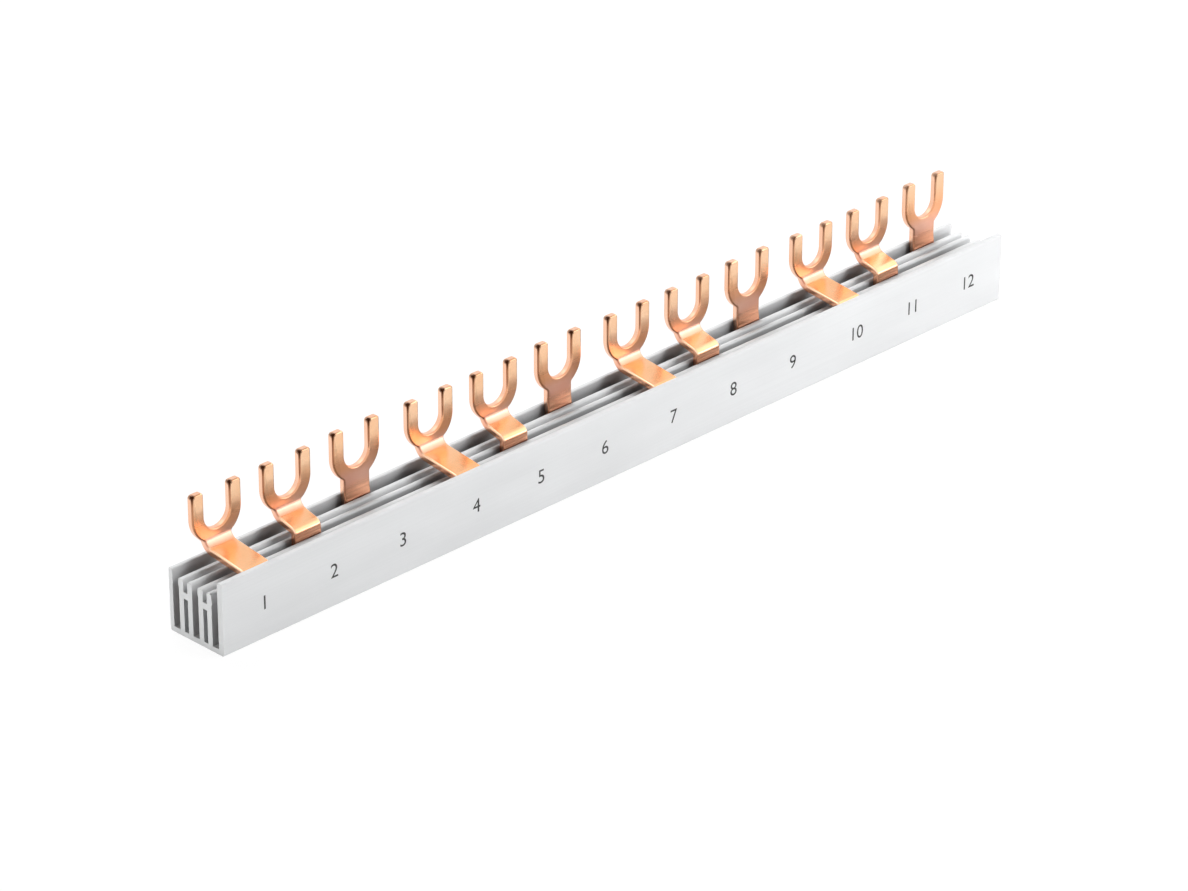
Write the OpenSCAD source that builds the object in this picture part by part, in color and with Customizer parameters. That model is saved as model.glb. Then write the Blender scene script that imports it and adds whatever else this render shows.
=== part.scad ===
// Comb busbar with fork terminals for a row of three-pole devices.
// A plastic profile, open at the top and at both ends, holds three copper combs.
// Each comb is one strip, stamped and bent, and their forks stand in one row above the back wall.
// The combs take turns along the row: front, middle, rear, and again.
// X runs along the housing, Y from the front face to the back, Z up from the underside.
// The origin is the middle of the underside.

/* [Row] */
// Number of forks in the row, a third of them on each comb
ways = 12; // [3:3:24]
// Distance from one fork to the next
pitch = 17.8; // [15:0.1:27]
// Length of the housing beyond the whole pitches
end_spare = 1.4; // [0:0.1:6]
// How far each end of a comb stays inside the housing
comb_inset = 3; // [1:0.1:4]
// Where the front comb has slid to in its slot
front_slide = 0.5; // [-0.5:0.1:0.5]
// Where the middle comb has slid to in its slot
middle_slide = -0.2; // [-0.5:0.1:0.5]
// Where the rear comb has slid to in its slot
rear_slide = -0.7; // [-0.7:0.1:0.5]

/* [Housing] */
// Depth from the front face to the back
housing_d = 14.6; // [14:0.1:16]
// Height of the front wall
front_h = 14.8; // [14.4:0.1:15.2]
// Height of the back wall
rear_h = 13; // [12:0.1:13]
// Thickness of the front wall
front_t = 1.3; // [1:0.05:1.4]
// Thickness of the back wall
rear_t = 1; // [0.8:0.05:1.2]
// Thickness of the floor
floor_t = 1.1; // [0.8:0.05:1.5]
// Width of each of the three slots
slot_w = 1.7; // [1.7:0.05:1.8]
// Height of the two ribs above the underside
rib_h = 11.8; // [11:0.1:12]
// Thickness of a rib's leg
leg_t = 1.25; // [1.05:0.05:1.4]
// Depth of the groove along the top of a rib
groove_d = 2.5; // [1.5:0.1:3]
// Thickness of the bridge under that groove
bridge_t = 1.35; // [1:0.05:2]
// How far the bead on the back of a rib stands out
bead = 0.15; // [0.05:0.01:0.15]
// How far the barb on the front of the front rib stands out
barb = 0.22; // [0.1:0.01:0.22]

/* [Combs] */
// Thickness of the copper strip
strip_t = 1.4; // [1:0.05:1.4]
// Height of the bar that lies on a slot's floor
bar_h = 7.2; // [5:0.1:7.6]
// Inner radius of the strip's bend over its slot
slot_bend_r = 0.25; // [0.2:0.05:0.5]
// Inner radius of the bend that leads up into the fork
fork_bend_r = 1.8; // [1.2:0.05:2]
// Slope of the front comb's tabs, which reach over both ribs
front_slope = 7.5; // [6:0.5:9]
// Slope of the middle comb's tabs, which reach over the rear rib
middle_slope = 15.5; // [12:0.5:18]
// Height at which the front comb's tabs would meet the forks without a bend
front_tab_z = 15.5; // [15.4:0.05:15.8]
// Height at which the middle comb's tabs would meet the forks without a bend
middle_tab_z = 15.7; // [15.5:0.05:16]
// How far the rear comb's forks stand behind its bar
rear_jog = 0.21; // [0.05:0.01:0.21]

/* [Forks] */
// Height of the fork tips above the underside
fork_top = 26.4; // [24:0.1:30]
// How much higher the rear comb's tips are
rear_top_extra = 0.4; // [0:0.1:1]
// Height of the middle of the fork's round bottom
fork_mid_z = 21.25; // [21:0.05:22]
// Width over both tines
fork_w = 11.8; // [10:0.05:12.4]
// Width of the gap between the tines
gap_w = 6.15; // [5.5:0.05:7.5]
// Width of the neck below the fork
neck_w = 6.45; // [5:0.05:6.8]
// Radius of the corners at the tips
tip_r = 0.5; // [0.2:0.05:0.6]

/* [Hidden] */
$fn = 64;

housing_l = ways * pitch + end_spare;
rib_w = (housing_d - front_t - rear_t - 3 * slot_w) / 2;
slot_step = rib_w + slot_w;
// Front face of each slot, from the housing's front face
slot_y = [for (i = [0:2]) front_t + i * slot_step];
rib_y = [for (i = [0:1]) slot_y[i] + slot_w];

// Rounding of the plastic's edges
base_r = 0.4;
wall_r = 0.3;
leg_r = 0.5;
// Middle of the bead and its length up the leg
bead_z = rib_h - 1.1;
bead_l = 2;
bead_r = (pow(bead_l / 2, 2) + pow(bead, 2)) / (2 * bead);
// The barb widens from its top down to its edge
barb_top = rib_h - 0.5;
barb_edge = rib_h - 2.1;

// Play between a strip and what guides it
play = 0.04;
// Front face of each comb's bar, held clear of the beads
bar_y = [slot_y[0] + play, slot_y[1] + bead + play, slot_y[2] + bead + play];
slide = [front_slide, middle_slide, rear_slide];
bar_l = housing_l - 2 * comb_inset;
bar_top = floor_t + bar_h;
// Front face of all the forks
fork_y = bar_y[2] + rear_jog;
tine_w = (fork_w - gap_w) / 2;
// The rear comb's necks lean between these heights
jog_low = 11.9;
jog_high = 13.5;
// Fillets between neck and fork and between neck and bar
neck_fillet = 0.6;
root_fillet = 0.8;
// Long enough to cut or cover any part of the section
reach = 40;
// Steps in which a bend of the strip is drawn
bend_steps = 14;

function unit(angle) = [cos(angle), sin(angle)];

// Place along the row of fork number i of comb number c
function fork_x(c, i) = (3 * i + c - (ways - 1) / 2) * pitch + slide[c];

// A profile drawn in Y and Z, drawn out to a length centred on X = 0
module along_x(length) {
    translate([-length / 2, -housing_d / 2, 0])
        rotate([90, 0, 90])
            linear_extrude(length) children();
}

// An outline drawn in X and Z, drawn out through the whole depth
module through_y() {
    translate([0, housing_d / 2 + 1, 0])
        rotate([90, 0, 0])
            linear_extrude(housing_d + 2) children();
}

// An upright wall with round top edges
module upright(width, height, r) {
    square([width, height - r]);
    translate([r, 0]) square([width - 2 * r, height]);
    for (x = [r, width - r])
        translate([x, height - r]) circle(r);
}

// Floor and both outer walls, with round lower edges
module shell_2d() {
    translate([base_r, 0]) square([housing_d - 2 * base_r, floor_t]);
    translate([0, base_r]) square([housing_d, floor_t - base_r]);
    for (y = [base_r, housing_d - base_r])
        translate([y, base_r]) circle(base_r);
    translate([0, base_r]) upright(front_t, front_h - base_r, wall_r);
    translate([housing_d - rear_t, base_r]) upright(rear_t, rear_h - base_r, wall_r);
}

// One rib: two legs, the bridge between them and the bead on its back
module rib_2d() {
    for (y = [0, rib_w - leg_t])
        translate([y, floor_t / 2]) upright(leg_t, rib_h - floor_t / 2, leg_r);
    translate([leg_t / 2, rib_h - groove_d - bridge_t])
        square([rib_w - leg_t, bridge_t]);
    intersection() {
        translate([rib_w + bead - bead_r, bead_z]) circle(bead_r);
        translate([rib_w - leg_t / 2, bead_z - bead_l / 2]) square([leg_t, bead_l]);
    }
}

// Catch along the front of the front rib, over the front comb's bar
module barb_2d() {
    polygon([
        [0, barb_top],
        [-barb, barb_edge],
        [0, barb_edge - barb],
        [leg_t / 2, barb_edge],
        [leg_t / 2, barb_top],
    ]);
}

module housing() {
    color("gainsboro")
        along_x(housing_l) {
            shell_2d();
            for (y = rib_y) translate([y, 0]) rib_2d();
            translate([rib_y[0], 0]) barb_2d();
        }
}

// Fillet in the corner between the neck and the fork's round bottom
module neck_fillet_2d() {
    outer_r = fork_w / 2;
    fillet_x = neck_w / 2 + neck_fillet;
    drop = sqrt(pow(outer_r + neck_fillet, 2) - pow(fillet_x, 2));
    share = outer_r / (outer_r + neck_fillet);
    difference() {
        polygon([
            [neck_w / 2, fork_mid_z - drop],
            [fillet_x * share, fork_mid_z - drop * share],
            [neck_w / 4, fork_mid_z - drop * share],
            [neck_w / 4, fork_mid_z - drop],
        ]);
        translate([fillet_x, fork_mid_z - drop]) circle(neck_fillet);
    }
}

// Fillet where the neck leaves the top of the bar
module root_fillet_2d() {
    translate([neck_w / 2, bar_top])
        difference() {
            translate([-root_fillet, -root_fillet])
                square(2 * root_fillet);
            translate([root_fillet, root_fillet]) circle(root_fillet);
        }
}

// Fork and neck as seen from the front: two tines on a round bottom
module fork_2d(top) {
    difference() {
        translate([0, fork_mid_z]) circle(d = fork_w);
        translate([0, fork_mid_z]) circle(d = gap_w);
        translate([-fork_w, fork_mid_z]) square(2 * fork_w);
    }
    for (x = [-fork_w / 2, gap_w / 2])
        translate([x, fork_mid_z]) upright(tine_w, top - fork_mid_z, tip_r);
    translate([-neck_w / 2, bar_top - root_fillet])
        square([neck_w, fork_mid_z - fork_w / 2 + tine_w / 2 - bar_top + root_fillet]);
    for (side = [0, 1])
        mirror([side, 0]) {
            neck_fillet_2d();
            root_fillet_2d();
        }
}

// Points along an arc between two angles
function arc(centre, r, from, to) = [
    for (i = [0:bend_steps])
        centre + r * unit(from + (to - from) * i / bend_steps)
];

// Side view of a strip that rises from its slot, reaches back and rises again
module bent_strip_2d(face, tab_z, slope) {
    slot_outer_r = slot_bend_r + strip_t;
    front_y = face + slot_outer_r;
    front_z = tab_z - (fork_y - front_y) * tan(slope) - slot_outer_r / cos(slope);
    rear_z = tab_z + fork_bend_r * (1 / cos(slope) - tan(slope));
    front = [front_y, front_z];
    rear = [fork_y - fork_bend_r, rear_z];
    polygon(concat(
        [[face + strip_t, floor_t], [face, floor_t]],
        arc(front, slot_outer_r, 180, 90 + slope),
        arc(rear, fork_bend_r, slope - 90, 0),
        [[fork_y, reach], [fork_y + strip_t, reach]],
        arc(rear, fork_bend_r + strip_t, 0, slope - 90),
        arc(front, slot_bend_r, 90 + slope, 180)
    ));
}

// Side view of the rear strip, which only leans back a little above its slot
module jogged_strip_2d(face) {
    polygon([
        [face, floor_t],
        [face + strip_t, floor_t],
        [face + strip_t, jog_low],
        [fork_y + strip_t, jog_high],
        [fork_y + strip_t, reach],
        [fork_y, reach],
        [fork_y, jog_high],
        [face, jog_low],
    ]);
}

// Comb number c: its bar, with a fork on every third way; the side view is passed in
module comb(c, top) {
    translate([slide[c], bar_y[c] - housing_d / 2, floor_t])
        translate([-bar_l / 2, 0, 0]) cube([bar_l, strip_t, bar_h]);
    for (i = [0:ways / 3 - 1])
        translate([fork_x(c, i), 0, 0])
            intersection() {
                along_x(2 * fork_w) children();
                through_y() fork_2d(top);
            }
}

module comb_front() {
    color("peru") comb(0, fork_top) bent_strip_2d(bar_y[0], front_tab_z, front_slope);
}

module comb_middle() {
    color("peru") comb(1, fork_top) bent_strip_2d(bar_y[1], middle_tab_z, middle_slope);
}

module comb_rear() {
    color("peru") comb(2, fork_top + rear_top_extra) jogged_strip_2d(bar_y[2]);
}

housing();
comb_front();
comb_middle();
comb_rear();
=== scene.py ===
# %% [markdown]
# # A comb busbar, from flat strip to finished part
# A comb busbar feeds a row of small electrical devices from one end.
# It is a pale plastic profile with three slots, and in each slot lies a copper comb.
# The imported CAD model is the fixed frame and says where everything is. Blender brings the looks:
# round stamped edges, bright copper, satin plastic, a little print and soft light.
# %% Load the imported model
import math
import bpy
from mathutils import Matrix, Vector


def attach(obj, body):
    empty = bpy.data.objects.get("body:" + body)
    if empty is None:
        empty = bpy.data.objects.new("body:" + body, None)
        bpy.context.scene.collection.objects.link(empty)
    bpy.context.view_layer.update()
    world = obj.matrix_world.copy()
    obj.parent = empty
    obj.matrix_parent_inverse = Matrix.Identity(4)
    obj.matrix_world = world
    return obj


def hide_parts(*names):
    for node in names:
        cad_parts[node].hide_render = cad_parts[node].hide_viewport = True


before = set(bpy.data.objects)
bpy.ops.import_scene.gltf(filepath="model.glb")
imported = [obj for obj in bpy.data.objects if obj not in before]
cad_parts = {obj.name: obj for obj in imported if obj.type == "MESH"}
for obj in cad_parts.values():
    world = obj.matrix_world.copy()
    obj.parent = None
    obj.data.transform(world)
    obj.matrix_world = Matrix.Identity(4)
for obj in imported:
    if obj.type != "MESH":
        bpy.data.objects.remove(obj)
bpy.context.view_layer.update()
scene = bpy.context.scene
scene.view_settings.view_transform = "Standard"
MM = 0.001
print("nodes:", ", ".join(sorted(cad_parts)))

# %% [markdown]
# ## The camera
# A long lens, from the left and above, gives the flat look of a catalogue picture.
# A camera can be aimed by eye, but then its tilt and lens stay guesses. Here the place, the turn
# and the lens come from fitting points of the photograph to the CAD sizes. The rotation is built
# from the picture's own right and up directions, which needs no angles.
# %% Set up the camera
CAMERA_PLACE = (-0.597495, -0.584641, 0.425564)
PICTURE_RIGHT = Vector((0.70352, -0.71067, 0.00273)).normalized()
PICTURE_UP = Vector((0.31968, 0.31990, 0.89189)).normalized()
LENS = 145.32
SENSOR_WIDTH = 36

camera_data = bpy.data.cameras.new("camera")
camera_data.sensor_width = SENSOR_WIDTH
camera_data.lens = LENS
camera = bpy.data.objects.new("camera", camera_data)
scene.collection.objects.link(camera)
toward_lens = PICTURE_RIGHT.cross(PICTURE_UP)
turn = Matrix((PICTURE_RIGHT, PICTURE_UP, toward_lens)).transposed()
camera.matrix_world = Matrix.Translation(CAMERA_PLACE) @ turn.to_4x4()
scene.camera = camera
print("camera is", round(Vector(CAMERA_PLACE).length, 3), "m from the part")

# %% [markdown]
# ## Sizes of the combs
# A comb is one copper strip, stamped flat and then bent, so two sets of sizes describe it.
# The first set is the shape seen from the front: a long bar with four forks standing on it.
# The second set, in the next cell, is the bends. All are in millimetres and agree with the CAD
# model, apart from the tips' corners, which are rounder here, as tumbling leaves them.
# %% Write down the sizes
WAYS = 12
PITCH = 17.8
SLIDE = {"front": 0.5, "middle": -0.2, "rear": -0.7}
FIRST_WAY = {"front": 0, "middle": 1, "rear": 2}
BAR_LENGTH = 209.0
BAR_BOTTOM = 1.1
BAR_TOP = 8.3
BAR_CORNER = 0.6
STRIP = 1.4
# Front face of each bar, and of all the forks, from the middle of the housing's depth
BAR_FACE = {"front": -5.96, "middle": -0.51, "rear": 4.79}
FORK_FACE = 5.0
TOP = {"front": 26.4, "middle": 26.4, "rear": 26.8}
FORK_MID = 21.25
FORK_R = 11.8 / 2
GAP_R = 6.15 / 2
NECK_HALF = 6.45 / 2
TIP_R = 0.7
NECK_FILLET = 0.6
ROOT_FILLET = 0.8
print("bar section:", round((BAR_TOP - BAR_BOTTOM) * STRIP, 1), "square mm")

# %% [markdown]
# ## How the strip bends
# A front or middle strip rises out of its slot, reaches back over the ribs and rises again.
# Modelling that bent shape directly is awkward, and its round edges would come out uneven.
# So each comb is cut as a flat blank first, as the press does it, and bent afterwards.
# The bend over the slot is tight, and the one that leads up into the fork is wide.
# %% Describe the bends
SLOT_BEND = 0.25
FORK_BEND = 1.8
SLOPE = {"front": math.radians(7.5), "middle": math.radians(15.5)}
CORNER_Z = {"front": 15.5, "middle": 15.7}


def bends(comb):
    """Both bends' centres, and the lengths of the first bend, the flat tab and the second."""
    slope = SLOPE[comb]
    outer = SLOT_BEND + STRIP
    rear_y = FORK_FACE - FORK_BEND
    rise = FORK_BEND / math.cos(slope) - FORK_BEND * math.tan(slope)
    rear = Vector((rear_y, CORNER_Z[comb] + rise))
    front_y = BAR_FACE[comb] + outer
    drop = (FORK_FACE - front_y) * math.tan(slope) + outer / math.cos(slope)
    front = Vector((front_y, CORNER_Z[comb] - drop))
    tab = (rear - front).dot(Vector((math.cos(slope), math.sin(slope))))
    turn = math.pi / 2 - slope
    return front, rear, (SLOT_BEND + STRIP / 2) * turn, tab, (FORK_BEND + STRIP / 2) * turn


for comb in SLOPE:
    front, rear, first, tab, second = bends(comb)
    print(comb, "comb: bend", round(first, 2), "tab", round(tab, 2), "bend", round(second, 2), "mm")

# %% [markdown]
# ## From the blank to its place
# Bending is a change of coordinates. A point of the blank has a length along the strip, s, and
# a height above the middle of the strip's thickness, n, counted towards the side that ends up in
# front or on top. A Curve or Simple Deform modifier bends too, but only with one radius at a
# time, and it stretches the ends. Written out, each stretch keeps its true length.
# %% Bend the strips
JOG_LOW = 11.9
JOG_HIGH = 13.5
JOG_STEP = FORK_FACE - BAR_FACE["rear"]


def place_bent(comb, s, n):
    """Depth and height of a point of the strip with two bends."""
    front, rear, first, tab, second = bends(comb)
    slope = SLOPE[comb]
    if s <= front.y:
        return BAR_FACE[comb] + STRIP / 2 - n, s
    s -= front.y
    reach = SLOT_BEND + STRIP / 2 + n
    if s <= first:
        angle = math.pi - s / (SLOT_BEND + STRIP / 2)
        return front.x + reach * math.cos(angle), front.y + reach * math.sin(angle)
    s -= first
    if s <= tab:
        y = front.x - reach * math.sin(slope) + s * math.cos(slope)
        return y, front.y + reach * math.cos(slope) + s * math.sin(slope)
    s -= tab
    if s <= second:
        angle = s / (FORK_BEND + STRIP / 2) - math.pi / 2 + slope
        reach = FORK_BEND + STRIP / 2 - n
        return rear.x + reach * math.cos(angle), rear.y + reach * math.sin(angle)
    return FORK_FACE + STRIP / 2 - n, rear.y + s - second


def place_jogged(s, n):
    """Depth and height of a point of the rear strip, which only leans back a little."""
    share = min(max((s - JOG_LOW) / (JOG_HIGH - JOG_LOW), 0), 1)
    return BAR_FACE["rear"] + STRIP / 2 - n + JOG_STEP * share, s


print("the rear strip steps back", round(place_jogged(20, 0)[0] - place_jogged(5, 0)[0], 2), "mm")

# %% [markdown]
# ## And back to the blank
# The fork has to look right from the front once it is bent, and its lowest part lies on the bend.
# Drawn on the blank without care it would come out too short. So heights are given for the
# finished fork, and this cell finds where they lie on the blank.
# %% Unbend a height


def blank_height(comb):
    """Where on the flat blank the second bend ends and the fork begins to stand upright."""
    front, rear, first, tab, second = bends(comb)
    return front.y + first + tab + second


def on_blank(comb, z):
    """The length along the blank at which a height of the finished fork lies."""
    if comb == "rear":
        return z
    rear = bends(comb)[1]
    middle = FORK_BEND + STRIP / 2
    if z >= rear.y:
        return blank_height(comb) + z - rear.y
    return blank_height(comb) - middle * math.asin((rear.y - z) / middle)


TRIAL_HEIGHT = 16.5
for comb in SLOPE:
    s = on_blank(comb, TRIAL_HEIGHT)
    print(comb, "comb: height", TRIAL_HEIGHT, "is", round(s, 2), "mm along the blank, and comes back as",
          round(place_bent(comb, s, 0)[1], 2))

# %% [markdown]
# ## Lines across the neck
# A mesh bends only where it has points, so the neck needs lines across it.
# A Subdivision Surface would put such lines everywhere, also where nothing bends. So they are
# listed here: close together on the bends, a few on the flat tab, and a pair at each end of the
# small step in the rear neck.
# %% Cut the neck across
JOG_CUTS = (10.4, JOG_LOW - 0.1, JOG_LOW + 0.1, JOG_HIGH - 0.1, JOG_HIGH + 0.1, 14.6)
UNDER_SLOT_BEND = (1.6, 0.5)
SLOT_BEND_STEPS = 10
ON_TAB = (0.15, 0.5, 0.85)
FORK_BEND_STEP = 0.22


def neck_cuts(comb, end):
    """Lengths along the blank at which a neck gets a line across it, up to the fork's fillet."""
    if comb == "rear":
        return JOG_CUTS
    front, rear, first, tab, second = bends(comb)
    cuts = [front.y - distance for distance in UNDER_SLOT_BEND]
    cuts += [front.y + first * i / SLOT_BEND_STEPS for i in range(SLOT_BEND_STEPS + 1)]
    tab_start = front.y + first
    cuts += [tab_start + tab * share for share in ON_TAB]
    tab_end = tab_start + tab
    steps = math.ceil((end - tab_end) / FORK_BEND_STEP)
    return cuts + [tab_end + (end - tab_end) * i / steps for i in range(steps)]


print("lines across a rear neck, in mm:", [round(s, 1) for s in JOG_CUTS])

# %% [markdown]
# ## One fork's outline
# A fork is a round-bottomed U on a neck, with small fillets where the punch has them.
# A curve object could trace it, but then its points would fall where they like. So it is drawn
# as its right half and mirrored, and every point has a partner across the neck. Round parts
# are arcs of short steps, and below each tip a few extra points hold the marks for the material.
# %% Draw one fork's outline
REAR_NECK_TOP = 16.9
PAST_FORK_BEND = 0.25
BELOW_TIP = (0.3, 0.7, 1.3, 2.1)
FILLET_STEPS = 6
CURVE_STEPS = 20
TIP_STEPS = 7


def arc(x, z, radius, start, end, steps):
    """Points along an arc, between two angles in degrees."""
    angles = [math.radians(start + (end - start) * i / steps) for i in range(steps + 1)]
    return [(x + radius * math.cos(a), z + radius * math.sin(a)) for a in angles]


def half_fork(comb):
    """The right half of a fork, from its root to the middle of the gap, and how much is neck."""
    top = TOP[comb]
    fillet_x = NECK_HALF + NECK_FILLET
    drop = math.sqrt((FORK_R + NECK_FILLET) ** 2 - fillet_x**2)
    lean = math.degrees(math.atan2(drop, fillet_x))
    below_tip = [top - TIP_R - d for d in BELOW_TIP]
    head = arc(fillet_x, FORK_MID - drop, NECK_FILLET, 180, 180 - lean, FILLET_STEPS)
    head += arc(0, FORK_MID, FORK_R, -lean, 0, CURVE_STEPS)[1:]
    upright_from = REAR_NECK_TOP if comb == "rear" else bends(comb)[1].y + PAST_FORK_BEND
    strips = sum(1 for x, z in head if z < upright_from)
    head += [(FORK_R, z) for z in reversed(below_tip)]
    head += arc(FORK_R - TIP_R, top - TIP_R, TIP_R, 0, 90, TIP_STEPS)
    head += arc(GAP_R + TIP_R, top - TIP_R, TIP_R, 90, 180, TIP_STEPS)
    head += [(GAP_R, z) for z in below_tip]
    head += arc(0, FORK_MID, GAP_R, 0, -90, CURVE_STEPS)
    head = [(x, on_blank(comb, z)) for x, z in head]
    root = arc(NECK_HALF + ROOT_FILLET, BAR_TOP + ROOT_FILLET, ROOT_FILLET, 270, 180, FILLET_STEPS)
    neck = [(NECK_HALF, s) for s in neck_cuts(comb, head[0][1])]
    return root + neck + head, len(root), len(root) + len(neck) + strips


for comb in SLIDE:
    half, first_cut, last_cut = half_fork(comb)
    print(comb, "half fork:", len(half), "points,", last_cut - first_cut, "lines across the neck")

# %% [markdown]
# ## The whole comb's outline
# Bar and forks are one sheet of metal. A Boolean could join them, but it leaves stray edges where
# they meet. So the outline runs once round them all, with the metal always on its left: first the
# bar, along its underside, and then the forks from right to left, because that is the way round.
# For each fork the pairs of points across its neck are kept.
# %% Draw the whole outline
CORNER_STEPS = 4


def ways_of(comb):
    """The ways that a comb feeds: every third one."""
    return range(FIRST_WAY[comb], WAYS, len(FIRST_WAY))


def way_middle(way):
    """How far along the row the middle of a way's fork stands."""
    comb = list(SLIDE)[way % len(SLIDE)]
    return (way - (WAYS - 1) / 2) * PITCH + SLIDE[comb]


def blank_outline(comb):
    """The whole comb's outline, and for each fork the pairs of points across its neck."""
    left, right = SLIDE[comb] - BAR_LENGTH / 2, SLIDE[comb] + BAR_LENGTH / 2
    low, high = BAR_BOTTOM + BAR_CORNER, BAR_TOP - BAR_CORNER
    points = arc(left + BAR_CORNER, low, BAR_CORNER, 180, 270, CORNER_STEPS)
    points += arc(right - BAR_CORNER, low, BAR_CORNER, 270, 360, CORNER_STEPS)
    points += arc(right - BAR_CORNER, high, BAR_CORNER, 0, 90, CORNER_STEPS)
    half, first_cut, last_cut = half_fork(comb)
    necks = []
    for way in reversed(ways_of(comb)):
        x = way_middle(way)
        start = len(points)
        points += [(x + dx, s) for dx, s in half]
        points += [(x - dx, s) for dx, s in reversed(half[:-1])]
        end = len(points) - 1
        necks.append([(start + i, end - i) for i in range(first_cut, last_cut)])
    points += arc(left + BAR_CORNER, high, BAR_CORNER, 90, 180, CORNER_STEPS)
    return points, necks


for comb in SLIDE:
    outline, necks = blank_outline(comb)
    print(comb, "outline has", len(outline), "points and", len(necks), "forks")

# %% [markdown]
# ## Round edges
# Stamping leaves no sharp corners: the edge on the die's side is drawn round, and tumbling
# breaks the other. A Bevel modifier would pinch on the short steps of the arcs. So the edge is
# built as rings of points round the blank, each moved in a little more as it comes nearer to the
# face, which gives a true round everywhere.
# %% Round the blank's edges
FRONT_EDGE = 0.38
BACK_EDGE = 0.28
EDGE_STEPS = 5


def inward(points):
    """For each point, the direction and length that moves the outline in by one unit."""
    moves = []
    for i, here in enumerate(points):
        before = Vector(here) - Vector(points[i - 1])
        after = Vector(points[(i + 1) % len(points)]) - Vector(here)
        a = Vector((-before.y, before.x)).normalized()
        b = Vector((-after.y, after.x)).normalized()
        moves.append((a + b) / (1 + a.dot(b)))
    return moves


def edge_rings():
    """Height in the thickness, move inward and wear of each ring, from the back to the front."""
    rings = []
    for side, radius in ((-1, BACK_EDGE), (1, FRONT_EDGE)):
        steps = [math.pi / 2 * i / EDGE_STEPS for i in range(EDGE_STEPS + 1)]
        if side < 0:
            steps.reverse()
        for angle in steps:
            height = side * (STRIP / 2 - radius * (1 - math.sin(angle)))
            rings.append((height, radius * (1 - math.cos(angle)), math.sin(2 * angle)))
    return rings


print("edge rings:", [(round(h, 2), round(m, 2)) for h, m, w in edge_rings()])

# %% [markdown]
# ## Flat faces in pieces
# The front and the back of a comb could each be one big face, but a face with hundreds of
# corners doesn't bend. So the bar is one face, each fork is another, and the neck between them
# is a row of narrow strips that follow the bends.
# %% Divide the flat faces


def face_loops(count, necks):
    """Point numbers of the flat areas: the bar, the strips across each neck, and each fork."""
    loops, bar, next_point = [], [], 0
    for pairs in necks:
        bar += range(next_point, pairs[0][0] + 1)
        next_point = pairs[0][1]
        for (r0, l0), (r1, l1) in zip(pairs, pairs[1:]):
            loops.append([r0, r1, l1, l0])
        loops.append(list(range(pairs[-1][0], pairs[-1][1] + 1)))
    bar += range(next_point, count)
    return [bar] + loops


def comb_faces(count, necks):
    """All faces: the walls between one ring and the next, and the flat areas on both sides."""
    faces = []
    last = len(edge_rings()) - 1
    for ring in range(last):
        low, high = ring * count, (ring + 1) * count
        for i in range(count):
            j = (i + 1) % count
            faces.append((low + i, low + j, high + j, high + i))
    for loop in face_loops(count, necks):
        faces.append([last * count + i for i in loop])
        faces.append(list(reversed(loop)))
    return faces


outline, necks = blank_outline("rear")
print("rear comb:", len(comb_faces(len(outline), necks)), "faces")

# %% [markdown]
# ## Marks for the copper
# Copper browns along its edges, and the forks get painted dark corners and painted reflections by
# height, so the material has to know where on a fork it is. A painted picture could tell it, but
# someone would have to paint twelve forks.
# Numbers kept on the points are exact. There are four: how far round the edge a point is, how far
# across the fork, how far below its tips, and how far from the middle of its curve.
# %% Bend the rings and mark the points
MARKS = ("wear", "across", "below", "spread")
GAP_DEPTH = 9
GAP_WEAR = 0.5


def marked_points(comb, points):
    """All rings' points in their bent place, in metres, and each point's four marks."""
    moves = inward(points)
    top, fork_middle = on_blank(comb, TOP[comb]), on_blank(comb, FORK_MID)
    middles = [way_middle(way) for way in ways_of(comb)]
    verts = []
    marks = {name: [] for name in MARKS}
    for height, move, edge_darkening in edge_rings():
        for (x, s), direction in zip(points, moves):
            middle = min(middles, key=lambda m: abs(x - m))
            in_gap = abs(x - middle) < GAP_R + TIP_R and s > top - GAP_DEPTH
            x, s = x + direction.x * move, s + direction.y * move
            y, z = place_jogged(s, height) if comb == "rear" else place_bent(comb, s, height)
            verts.append((x * MM, y * MM, z * MM))
            marks["wear"].append(edge_darkening * (GAP_WEAR if in_gap else 1.0))
            marks["across"].append(x - middle)
            marks["below"].append(top - s)
            marks["spread"].append(math.hypot(x - middle, max(0, fork_middle - s)))
    return verts, marks


verts, marks = marked_points("rear", outline)
print("rear comb:", len(verts), "points, the lowest", round(max(marks["below"]), 1), "mm below the tips")

# %% [markdown]
# ## Press the three combs
# Now everything comes together in one mesh for each comb. Plain smooth shading would make the
# flat faces look pillowy, so the weighted normals let the largest faces decide, and only the
# round edges shine. The new combs stand for the CAD ones, which stay in the model for collision,
# and they ride on the same body.
# %% Build the combs
LARGEST_DECIDES = 100


def build_comb(comb):
    """The finished comb as a mesh object."""
    points, necks = blank_outline(comb)
    verts, marks = marked_points(comb, points)
    mesh = bpy.data.meshes.new("comb_" + comb + "_copper")
    mesh.from_pydata(verts, [], comb_faces(len(points), necks))
    mesh.polygons.foreach_set("use_smooth", [True] * len(mesh.polygons))
    for name, values in marks.items():
        mesh.attributes.new(name, "FLOAT", "POINT").data.foreach_set("value", values)
    mesh.validate()
    piece = bpy.data.objects.new("comb_" + comb + "_copper", mesh)
    scene.collection.objects.link(piece)
    flat = piece.modifiers.new("flat faces", "WEIGHTED_NORMAL")
    flat.weight = LARGEST_DECIDES
    return piece


combs = {}
for comb in SLIDE:
    piece = build_comb(comb)
    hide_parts("comb_" + comb)
    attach(piece, "root")
    combs[comb] = piece
    print(piece.name, len(piece.data.vertices), "points", len(piece.data.polygons), "faces")

# %% [markdown]
# ## Helpers for materials
# Every finish is a small network of nodes. Placing them by hand in the node editor is quick once
# and slow to repeat. These helpers add a node and join it to others, so that each material
# further on reads as a list of what it is made of.
# %% Make node helpers


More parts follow.
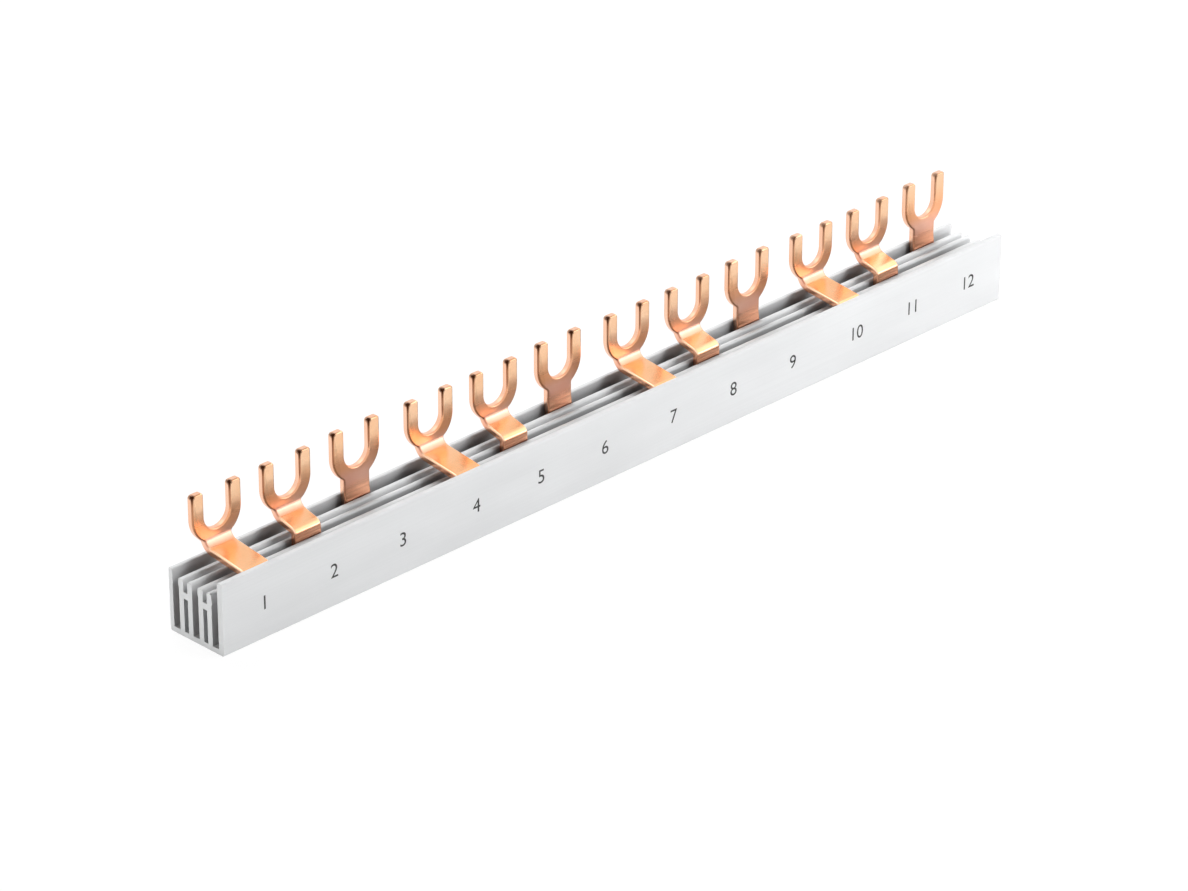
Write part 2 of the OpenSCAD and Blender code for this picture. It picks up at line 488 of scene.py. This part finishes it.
class Finish:
    """A material and a short way to add its nodes."""

    def __init__(self, name):
        self.material = bpy.data.materials.new(name)
        self.material.use_nodes = True
        self.nodes = self.material.node_tree.nodes
        self.links = self.material.node_tree.links
        self.shader = self.nodes["Principled BSDF"]

    def add(self, kind, inputs=None, **settings):
        """Adds a node; an input's value is a number, a colour or another node's output."""
        made = self.nodes.new("ShaderNode" + kind)
        for key, value in settings.items():
            setattr(made, key, value)
        for key, value in (inputs or {}).items():
            self.join(made.inputs[key], value)
        return made

    def join(self, socket, value):
        """Joins an output to a socket, or writes a plain value into it."""
        if isinstance(value, bpy.types.NodeSocket):
            self.links.new(value, socket)
        else:
            socket.default_value = value

    def place(self, scale):
        """The object's own coordinates in millimetres, stretched by a scale on each axis."""
        where = self.add("TexCoord").outputs["Object"]
        stretch = [v / MM for v in scale]
        return self.add("Mapping", {"Vector": where, "Scale": stretch}).outputs["Vector"]

    def noise(self, scale, detail, roughness=0.5):
        """Soft cloudy noise, a value between 0 and 1."""
        inputs = {"Vector": self.place(scale), "Scale": 1.0, "Detail": detail}
        inputs["Roughness"] = roughness
        return self.add("TexNoise", inputs).outputs["Fac"]

    def between(self, value, low, high, out_low, out_high):
        """Carries a value from one range of numbers to another."""
        inputs = {"Value": value, "From Min": low, "From Max": high}
        inputs.update({"To Min": out_low, "To Max": out_high})
        return self.add("MapRange", inputs).outputs["Result"]

    def math(self, operation, a, b=0.0):
        """One step of arithmetic."""
        return self.add("Math", {0: a, 1: b}, operation=operation).outputs["Value"]

    def blend(self, share, a, b):
        """Mixes two colours; the Mix node keeps its colour sockets behind those for numbers."""
        made = self.add("Mix", data_type="RGBA")
        self.join(made.inputs["Factor"], share)
        self.join(made.inputs[6], a)
        self.join(made.inputs[7], b)
        return made.outputs[2]

    def bump(self, height, depth, strength, under=None):
        """A relief of a given depth in millimetres."""
        inputs = {"Height": height, "Distance": depth * MM, "Strength": strength}
        if under is not None:
            inputs["Normal"] = under
        return self.add("Bump", inputs).outputs["Normal"]


def tint(*rgb):
    """A colour written as 0 to 255, as it is seen, turned into the shader's own scale."""
    parts = [v / 255 for v in rgb]
    return tuple(p / 12.92 if p < 0.04045 else ((p + 0.055) / 1.055) ** 2.4 for p in parts) + (1,)


print("peach copper in shader values:", [round(v, 3) for v in tint(252, 196, 152)])

# %% [markdown]
# ## Copper's patterns
# Bright rolled copper is never one colour. Rolling leaves faint lines along the strip, handling
# leaves cloudy patches, and fine specks lie over both. A picture of copper could supply that,
# but noise has no seams and no fixed size. The object's own coordinates drive it, in
# millimetres, and they are stretched along the strip for the rolling lines.
# %% Start the copper
copper = Finish("bright_copper")
clouds = copper.noise((0.16, 0.16, 0.16), detail=2.0)
rolling = copper.noise((0.12, 9.0, 9.0), detail=4.0, roughness=0.65)
specks = copper.noise((5.0, 5.0, 5.0), detail=2.0)
patches = copper.between(clouds, 0.35, 0.65, 0, 1)
print("copper starts with", len(copper.nodes), "nodes")

# %% [markdown]
# ## Where on the comb
# The marks from the mesh come back here. Two more facts join them: how deep a point lies behind
# the forks' front face, and how much it faces up. Together they tell the tabs, which reach out in
# front of the forks, from the rear comb's straight necks.
# %% Read the marks
# Distances below the tips where the neck starts to end, and where it has ended
NECK_END = (11, 13)
wear, across, below, spread = [
    copper.add("Attribute", attribute_name=name).outputs["Fac"] for name in MARKS
]
on_comb = copper.add("SeparateXYZ", {0: copper.place((1, 1, 1))}).outputs
inside = copper.math("SUBTRACT", on_comb["Y"], FORK_FACE)
facing_up = copper.add("SeparateXYZ", {0: copper.add("TexCoord").outputs["Normal"]}).outputs["Z"]
below_neck = copper.between(below, *NECK_END, 0, 1)
past_neck = copper.math("MULTIPLY", below_neck, copper.between(inside, -0.5, -1, 0, 1))
tab_top = copper.math("MULTIPLY", past_neck, copper.between(facing_up, 0.3, 0.7, 0, 1))
print("marks on the mesh:", ", ".join(MARKS))

# %% [markdown]
# ## Copper's tints, with painted reflection
# Much of the metal's colour here is painted reflection, standing in for what it mirrors: it is
# pale and golden near the tips, more orange where the fork closes, rosy on the neck, orange below it
# and golden again on top of the tab. One tint for all would look like paint.
# Each stretch gets a pair of tints, which the patches mix, and the stretches melt into each other.
# %% Tint each stretch
TIP_END = (3.0, 7.0)
CURVE_END = (8.0, 10.0)
# Painted reflection: these tints by height down the fork, and the one for the tab's upward face, put
# what the metal mirrors into its colour.
near_tip = copper.blend(patches, tint(252, 202, 160), tint(254, 211, 174))
on_curve = copper.blend(patches, tint(252, 180, 132), tint(252, 188, 150))
on_neck = copper.blend(patches, tint(250, 184, 158), tint(252, 196, 172))
on_root = copper.blend(patches, tint(251, 178, 142), tint(252, 190, 154))
on_tab = copper.blend(patches, tint(252, 190, 138), tint(253, 200, 156))
tone_with_painted_reflection = copper.blend(copper.between(below, *CURVE_END, 0, 1), on_curve, on_neck)
tone_with_painted_reflection = copper.blend(copper.between(below, *TIP_END, 0, 1), near_tip, tone_with_painted_reflection)
tone_with_painted_reflection = copper.blend(below_neck, tone_with_painted_reflection, on_root)
tone_with_painted_reflection = copper.blend(tab_top, tone_with_painted_reflection, on_tab)
print("stretches end at", TIP_END, CURVE_END, NECK_END, "mm below the tips")

# %% [markdown]
# ## The cut sides
# The die shears the strip's sides, so they are duller and paler than the rolled faces.
# They could have a material of their own, but the round edge between them would show a seam.
# The depth behind the front face fades one tint into the other instead. The rolling lines come
# last and lie over everything.
# %% Pale the cut sides
ROLLING_LINE = tint(226, 152, 110)
behind_front = copper.between(inside, 0.15, 0.4, 0, 1)
on_side = copper.math("MULTIPLY", behind_front, copper.between(inside, 1.0, 1.3, 1, 0))
sheared = copper.blend(patches, tint(251, 197, 166), tint(253, 208, 180))
tone_with_painted_reflection = copper.blend(on_side, tone_with_painted_reflection, sheared)
rolled = copper.blend(copper.between(rolling, 0.35, 0.75, 0, 0.12), tone_with_painted_reflection, ROLLING_LINE)
print("copper has", len(copper.nodes), "nodes so far")

# %% [markdown]
# ## Distance from an edge
# Stamped edges go brown first, and the left edge of each tine also gets a line of painted dark
# reflection. The mesh could carry a fifth mark for it, but its points are too far apart for so
# thin a line. So the distance is worked out as on paper, from the way to the side, measured along
# the fork's curve, and the depth behind the face.
# %% Measure from the left edges
on_right = copper.math("GREATER_THAN", across, 0.0)
edge = copper.between(on_right, 0, 1, FORK_R, GAP_R)
sideways = copper.math("ABSOLUTE", copper.math("SUBTRACT", spread, edge))
squares = copper.math("ADD", copper.math("POWER", sideways, 2), copper.math("POWER", inside, 2))
from_edge = copper.math("SQRT", squares)
outer_left = copper.between(across, -3.0, -3.4, 0, 1)
inner_right = copper.math("MULTIPLY", on_right, copper.between(below, 4.5, 6.5, 1, 0))
on_left_edge = copper.math("MAXIMUM", outer_left, inner_right)
print("left edges lie", FORK_R, "and", GAP_R, "mm from the fork's middle")

# %% [markdown]
# ## Browned edges and painted edge lines
# The painted dark line on the left edges fades on its way down from the tip. The other edges are
# browned more faintly by wear, and the specks break that up. Over the right half of each comb the
# painted line is fainter, and the edges of the tabs get a painted highlight instead.
# %% Brown the edges and paint the edge lines
BROWN = tint(150, 88, 52)
PAINTED_EDGE_HIGHLIGHT = tint(255, 234, 204)
LINE_WIDTH = (0.2, 0.42)
# Over the right half of the row the painted edge line and the painted dark corners grow fainter.
fainter_to_right = copper.between(on_comb["X"], 0, 90, 1, 0.7)
fading = copper.math("MULTIPLY", copper.between(below, 0.5, 9.0, 0.9, 0.45), on_left_edge)
fading = copper.math("MULTIPLY", fading, fainter_to_right)
# Painted dark reflection: the line along the left edges of the tines, and the left tine's darker edges.
painted_edge_line = copper.math("MULTIPLY", copper.between(from_edge, *LINE_WIDTH, 1, 0), fading)
narrow = copper.math("POWER", wear, 2)
rim = copper.math("MULTIPLY", narrow, copper.between(below, 0.3, 1.0, 0.8, 0.0))
painted_left_side = copper.math("MULTIPLY", narrow, copper.between(across, -2.0, -2.9, 0.1, 0.6))
edge_darkening = copper.math("MULTIPLY", wear, copper.between(specks, 0.3, 0.7, 0.25, 0.5))
for mark in (painted_edge_line, rim, painted_left_side):
    edge_darkening = copper.math("MAXIMUM", edge_darkening, mark)
edge_darkening = copper.math("MULTIPLY", edge_darkening, copper.between(past_neck, 0, 1, 1, 0.1))
browned_and_painted_edges = copper.blend(edge_darkening, rolled, BROWN)
# Painted highlight: the upward edges of the tabs are blended to a pale cream.
painted_edge_highlight = copper.math("MULTIPLY", past_neck, copper.between(facing_up, 0.1, 0.5, 0, 0.8))
painted_edge_highlight = copper.math("MULTIPLY", wear, painted_edge_highlight)
browned_and_painted_edges = copper.blend(painted_edge_highlight, browned_and_painted_edges, PAINTED_EDGE_HIGHLIGHT)
print("the brown line is full to", LINE_WIDTH[0], "mm from the edge and gone at", LINE_WIDTH[1], "mm")

# %% [markdown]
# ## Stained corners
# ## Painted dark corners
# bath dries. It has a round part on the corner, made as a ball of distances, and a short run down
# the edge. The specks make its rim ragged.
# %% Paint the dark corners
PAINTED_CORNER_DARK = tint(58, 28, 12)
CORNER_REACH = ((sideways, 0.8), (inside, 1.3), (below, 0.8))
RUN_WIDTH = 0.6
RUN_LENGTH = 2.4
# Painted dark reflection on each tine's front left corner, with a short run down the edge.
run = copper.math("DIVIDE", from_edge, RUN_WIDTH)
run = copper.math("ADD", run, copper.math("DIVIDE", below, RUN_LENGTH))
drop = copper.between(specks, 0.3, 0.7, -0.2, 0.2)
for distance, reach in CORNER_REACH:
    drop = copper.math("ADD", drop, copper.math("POWER", copper.math("DIVIDE", distance, reach), 2))
round_part = copper.between(drop, 0.35, 1.35, 1, 0)
painted_corner = copper.math("MAXIMUM", copper.between(run, 0.5, 1.15, 1, 0), round_part)
painted_corner = copper.math("MULTIPLY", painted_corner, fainter_to_right)
copper.join(copper.shader.inputs["Base Color"], copper.blend(painted_corner, browned_and_painted_edges, PAINTED_CORNER_DARK))
print("the round part of a stain reaches", [reach for distance, reach in CORNER_REACH], "mm")

# %% [markdown]
# ## The copper's gloss
# Rolled strip is nearly a mirror, so most of what it shows is its surroundings. Around the bottom
# of the fork it was gripped and is duller, and so are the painted dark corners. Shallow dents, a
# tenth of a millimetre deep, bend the mirror images, and fine lines and specks break them up.
# Modelled dents would need a far finer mesh for the same look, so all three are bump.
# %% Make the copper shine
copper.shader.inputs["Metallic"].default_value = 1.0
gloss = copper.between(rolling, 0.3, 0.8, 0.16, 0.23)
gripped = copper.between(below, 4, 8, 0, 0.14)
gripped = copper.math("MULTIPLY", gripped, copper.between(below, 11.5, 13, 1, 0.1))
gloss = copper.math("ADD", gloss, copper.math("ADD", gripped, copper.math("MULTIPLY", painted_corner, 0.3)))
copper.join(copper.shader.inputs["Roughness"], gloss)
relief = copper.bump(clouds, depth=0.1, strength=1.0)
relief = copper.bump(rolling, depth=0.004, strength=0.3, under=relief)
relief = copper.bump(specks, depth=0.003, strength=0.3, under=relief)
copper.join(copper.shader.inputs["Normal"], relief)
for piece in combs.values():
    piece.data.materials.append(copper.material)
print("copper has", len(copper.nodes), "nodes")

# %% [markdown]
# ## The plastic profile
# The profile is extruded, so its shape is one section drawn out along its length.
# The CAD solid has that shape exactly and stays as it is. Only its edges are too sharp to be
# real. A Weld joins the faces, which come apart from the CAD model, and then a fine Bevel can
# break every sharp edge, most visibly round the sawn ends.
# %% Soften the profile's edges
WELD_WITHIN = 0.002
EDGE_WIDTH = 0.08
SHARP_FROM = math.radians(50)
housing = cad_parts["housing"]
join = housing.modifiers.new("join the faces", "WELD")
join.merge_threshold = WELD_WITHIN * MM
soften = housing.modifiers.new("break the edges", "BEVEL")
soften.width = EDGE_WIDTH * MM
soften.segments = 2
soften.limit_method = "ANGLE"
soften.angle_limit = SHARP_FROM
soften.use_clamp_overlap = True
even = housing.modifiers.new("flat faces", "WEIGHTED_NORMAL")
even.weight = LARGEST_DECIDES
seen = housing.evaluated_get(bpy.context.evaluated_depsgraph_get()).to_mesh()
print("profile:", len(seen.vertices), "points", len(seen.polygons), "faces")

# %% [markdown]
# ## Plastic
# The profile is rigid, self-extinguishing plastic in a pale cool grey with a satin surface.
# Die lines run along it and are soft and shallow: noise again, drawn out some 260 times along
# the length. The sawn ends are duller and show the blade's marks. They could be a second
# material, but it is simpler to ask how far along the profile a point is.
# %% Start the plastic
PALE_GREY = tint(224, 225, 226)
PALER_GREY = tint(230, 231, 232)
LINE_GREY = tint(216, 217, 218)
SAWN_GREY = tint(222, 223, 223)
# Distances from the middle of the length where the sawn look begins, and where it is complete
SAWN = (107.36, 107.46)
plastic = Finish("pale_grey_plastic")
die_lines = plastic.noise((0.01, 2.6, 2.6), detail=3.0, roughness=0.6)
haze = plastic.noise((0.03, 0.12, 0.12), detail=2.0)
grain = plastic.noise((9.0, 9.0, 9.0), detail=2.0)
blade = plastic.noise((0.5, 0.35, 7.0), detail=3.0)
on_part = plastic.add("SeparateXYZ", {0: plastic.place((1, 1, 1))}).outputs
from_middle = plastic.math("ABSOLUTE", on_part["X"])
off_axis = plastic.math("ABSOLUTE", on_part["Y"])
sawn = plastic.between(from_middle, *SAWN, 0, 1)
tone = plastic.blend(plastic.between(haze, 0.35, 0.65, 0, 1), PALE_GREY, PALER_GREY)
lined = plastic.blend(plastic.between(die_lines, 0.4, 0.75, 0, 0.25), tone, LINE_GREY)
surface = plastic.blend(sawn, lined, SAWN_GREY)
print("plastic has", len(plastic.nodes), "nodes so far")

# %% [markdown]
# ## Painted shade in the slots
# Shade is painted into the plastic's colour deep in the slots and beside the copper, where shadows
# fall, so that they come out darker. It could be painted on a picture, but an ambient occlusion node
# finds such places by itself: it tells how much open sky a point has. The outer faces, the grooves
# on top of the ribs and the ends get little or none of this painted shade.
# %% Paint shade into the slots
PAINTED_SHADE_GREY = tint(44, 50, 56)
SKY_REACH = 4
WITHIN_OUTER_FACES = 7.1
RIB_MIDDLE = 2.7
GROOVE_SIDE = (0.8, 0.9)
ENDS_LESS_SHADED = (98, 106)
open_sky = plastic.add("AmbientOcclusion", {"Distance": SKY_REACH * MM}, samples=8).outputs["AO"]
# Painted shade: the less open sky the ambient occlusion node finds, the darker the plastic's colour.
painted_shade = plastic.between(open_sky, 0.2, 0.85, 0.58, 0)
off_groove = plastic.math("ABSOLUTE", plastic.math("SUBTRACT", off_axis, RIB_MIDDLE))
facing = plastic.add("SeparateXYZ", {0: plastic.add("TexCoord").outputs["Normal"]}).outputs["Z"]
shares = [
    plastic.math("LESS_THAN", off_axis, WITHIN_OUTER_FACES),
    plastic.between(off_groove, *GROOVE_SIDE, 0.2, 1),
    plastic.between(facing, 0.3, 0.8, 1, 0.3),
    plastic.between(from_middle, *ENDS_LESS_SHADED, 1, 0.3),
]
for share in shares:
    painted_shade = plastic.math("MULTIPLY", painted_shade, share)
plastic.join(plastic.shader.inputs["Base Color"], plastic.blend(painted_shade, surface, PAINTED_SHADE_GREY))
print("dust gathers within", SKY_REACH, "mm of other walls")

# %% [markdown]
# ## The plastic's surface
# The satin gloss changes a little from one die line to the next, and the sawn ends are duller.
# The relief is far too fine to model: a hundredth of a millimetre for the lines and twice that
# for the blade. Bump gives it at no cost to the mesh.
# %% Finish the plastic
satin = plastic.between(die_lines, 0.3, 0.7, 0.36, 0.46)
satin = plastic.math("ADD", satin, plastic.math("MULTIPLY", sawn, 0.2))
plastic.join(plastic.shader.inputs["Roughness"], satin)
plastic.shader.inputs["IOR"].default_value = 1.5
plastic.shader.inputs["Specular IOR Level"].default_value = 0.3
relief = plastic.bump(die_lines, depth=0.01, strength=0.35)
relief = plastic.bump(grain, depth=0.003, strength=0.4, under=relief)
cut_marks = plastic.math("MULTIPLY", sawn, blade)
relief = plastic.bump(cut_marks, depth=0.02, strength=0.5, under=relief)
plastic.join(plastic.shader.inputs["Normal"], relief)
housing.data.materials.clear()
housing.data.materials.append(plastic.material)
print("plastic has", len(plastic.nodes), "nodes")

# %% [markdown]
# ## Ink
# Print on such a profile is a thin layer of ink, a little uneven where the pad pressed less.
# Pure black would look like a hole, so it is a soft black that varies, with a gloss of its own.
# %% Mix the ink
FULL_BLACK = tint(34, 33, 33)
THIN_BLACK = tint(52, 51, 50)
ink = Finish("black_ink")
patch = ink.noise((1.6, 1.6, 1.6), detail=4.0)
ink.join(ink.shader.inputs["Base Color"], ink.blend(patch, FULL_BLACK, THIN_BLACK))
ink.join(ink.shader.inputs["Roughness"], ink.between(patch, 0.3, 0.7, 0.42, 0.58))
ink.join(ink.shader.inputs["Normal"], ink.bump(patch, depth=0.004, strength=0.5))
print("ink has", len(ink.nodes), "nodes")

# %% [markdown]
# ## Way numbers
# The print itself is plain: the number of each way, under its fork. A picture on the face could
# carry it, but it blurs close up. Each number is built from Blender's own letters as a skin of
# ink, a hundredth of a millimetre thick, and turned into a mesh so that it travels anywhere.
# %% Print the way numbers
INK = 0.01
NUMBER_HEIGHT = 2.9
HEIGHT_IN_SIZE = 0.7
NUMBER_Z = 6.0
FRONT = -7.3


def print_number(way):
    """A number of ink on the front face, under a fork."""
    letters = bpy.data.curves.new("number", "FONT")
    letters.body = str(way + 1)
    letters.align_x = "CENTER"
    letters.size = NUMBER_HEIGHT / HEIGHT_IN_SIZE * MM
    letters.extrude = INK / 2 * MM
    shape = bpy.data.objects.new("number", letters)
    scene.collection.objects.link(shape)
    bpy.context.view_layer.update()
    mesh = bpy.data.meshes.new_from_object(shape.evaluated_get(bpy.context.evaluated_depsgraph_get()))
    bpy.data.objects.remove(shape)
    stand = Matrix.Rotation(math.pi / 2, 4, "X")
    place = Matrix.Translation((way_middle(way) * MM, (FRONT - INK / 2) * MM, NUMBER_Z * MM))
    mesh.transform(place @ stand)
    piece = bpy.data.objects.new("way_number_%02d" % (way + 1), mesh)
    scene.collection.objects.link(piece)
    mesh.materials.clear()
    mesh.materials.append(ink.material)
    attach(piece, "root")


for way in range(WAYS):
    print_number(way)
print("printed", WAYS, "numbers")

# %% [markdown]
# ## Floor
# The part stands on a white table, as in a catalogue. More light would make a floor white, but
# it would burn out the plastic too. So the table is mostly glow to the camera and to mirror
# images, and partly paint, which takes a soft shadow. As a source of light it is grey paint only.
# %% Lay the floor
WHITE = (1, 1, 1, 1)
FLOOR_REACH = 3.0
GLOW_SHARE = 0.85
GLOW_STRENGTH = 1.1
# Diffuse Depth counts the matt surfaces that a ray has met, so less than this means none yet
NONE_MET = 0.5
floor_mesh = bpy.data.meshes.new("floor")
corners = [(x * FLOOR_REACH, y * FLOOR_REACH, 0) for x, y in ((-1, -1), (1, -1), (1, 1), (-1, 1))]
floor_mesh.from_pydata(corners, [], [(0, 1, 2, 3)])
floor = bpy.data.objects.new("floor", floor_mesh)
scene.collection.objects.link(floor)
paint = Finish("white_floor")
paint.shader.inputs["Base Color"].default_value = (0.65, 0.65, 0.65, 1)
paint.shader.inputs["Roughness"].default_value = 0.9
paint.shader.inputs["Specular IOR Level"].default_value = 0.1
glow = paint.add("Emission", {"Color": WHITE, "Strength": GLOW_STRENGTH})
rays = paint.add("LightPath").outputs
watched = paint.math("MAXIMUM", rays["Is Camera Ray"], rays["Is Glossy Ray"])
watched = paint.math("MAXIMUM", watched, rays["Is Transmission Ray"])
watched = paint.math("MULTIPLY", watched, paint.math("LESS_THAN", rays["Diffuse Depth"], NONE_MET))
share = paint.math("MULTIPLY", watched, GLOW_SHARE)
mixed = paint.add("MixShader", {0: share, 1: paint.shader.outputs[0], 2: glow.outputs[0]})
paint.join(paint.nodes["Material Output"].inputs["Surface"], mixed.outputs[0])
floor_mesh.materials.append(paint.material)
print("floor is", 2 * FLOOR_REACH, "m wide")

# %% [markdown]
# ## World
# The room is white to the camera and in the metal, but gives almost no light of its own,
# because an evenly lit room would fill the slots and take the shadows away. Copper would also
# throw the white room on as a warm glow. So a ray that has already met something matt finds the
# room dark.
# %% Paint the world
WORLD_LIGHT = 0.03
world = bpy.data.worlds.new("studio")
scene.world = world
world.use_nodes = True
sky = world.node_tree
light = sky.nodes["Background"]
light.inputs["Color"].default_value = WHITE
light.inputs["Strength"].default_value = WORLD_LIGHT
white = sky.nodes.new("ShaderNodeBackground")
white.inputs["Color"].default_value = WHITE
white.inputs["Strength"].default_value = 1.0
path = sky.nodes.new("ShaderNodeLightPath").outputs


def combine(operation, a, b):
    """One step of arithmetic among the world's nodes."""
    step = sky.nodes.new("ShaderNodeMath")
    step.operation = operation
    sky.links.new(a, step.inputs[0])
    if isinstance(b, bpy.types.NodeSocket):
        sky.links.new(b, step.inputs[1])
    else:
        step.inputs[1].default_value = b
    return step.outputs[0]


seen_white = combine("MAXIMUM", path["Is Camera Ray"], path["Is Glossy Ray"])
seen_white = combine("MAXIMUM", seen_white, path["Is Transmission Ray"])
seen_white = combine("MULTIPLY", seen_white, combine("LESS_THAN", path["Diffuse Depth"], NONE_MET))
choose = sky.nodes.new("ShaderNodeMixShader")
sky.links.new(seen_white, choose.inputs[0])
sky.links.new(light.outputs[0], choose.inputs[1])
sky.links.new(white.outputs[0], choose.inputs[2])
sky.links.new(choose.outputs[0], sky.nodes["World Output"].inputs["Surface"])
print("world light", WORLD_LIGHT)

# %% [markdown]
# ## Lamps
# The main light stands to the right and in front: the profile gets paler towards that end, and
# each fork throws a short soft shadow to the left. A low one in front lights the front wall, one
# beyond the left end opens the slots there, and one from behind and one from above reach the inner
# walls that the copper mirrors. The metal would show such lamps as hard spots. So it mirrors only
# panels made for it: a wide one that draws the cream bands along the bends, and two smaller ones.
# %% Place the lamps


def lamp(name, place, aim, size, power, mirrored=False):
    """A soft lamp that looks at a point; it either lights the part or is only mirrored."""
    data = bpy.data.lights.new(name, "AREA")
    data.shape = "RECTANGLE"
    data.size, data.size_y = size
    data.energy = power
    made = bpy.data.objects.new(name, data)
    scene.collection.objects.link(made)
    made.location = place
    made.rotation_euler = (Vector(aim) - Vector(place)).to_track_quat("-Z", "Y").to_euler()
    made.visible_glossy = mirrored
    made.visible_diffuse = not mirrored
    print(name, "at", place, "with", power, "W")


lamp("main_light", (0.62, -0.52, 0.53), (0.0, 0.0, 0.0), (0.6, 0.36), 7.0)
lamp("front_light", (0.35, -0.80, 0.10), (0.0, 0.0, 0.01), (0.5, 0.12), 2.9)
lamp("end_light", (-0.9, 0.05, 0.14), (-0.1, 0.0, 0.01), (0.3, 0.2), 3.9)
lamp("back_light", (0.20, 0.60, 0.44), (0.0, 0.0, 0.01), (0.6, 0.4), 4.4)
lamp("top_light", (0.10, 0.45, 0.75), (0.0, 0.0, 0.01), (0.6, 0.4), 2.6)
lamp("side_panel", (0.78, -0.28, 0.43), (0.0, 0.0, 0.0), (1.45, 0.82), 3.0, mirrored=True)
lamp("low_panel", (0.58, -0.66, 0.25), (0.0, 0.0, 0.0), (0.4, 0.18), 0.55, mirrored=True)
lamp("high_panel", (-0.12, 0.40, 0.79), (0.0, 0.0, 0.0), (0.6, 0.6), 0.7, mirrored=True)
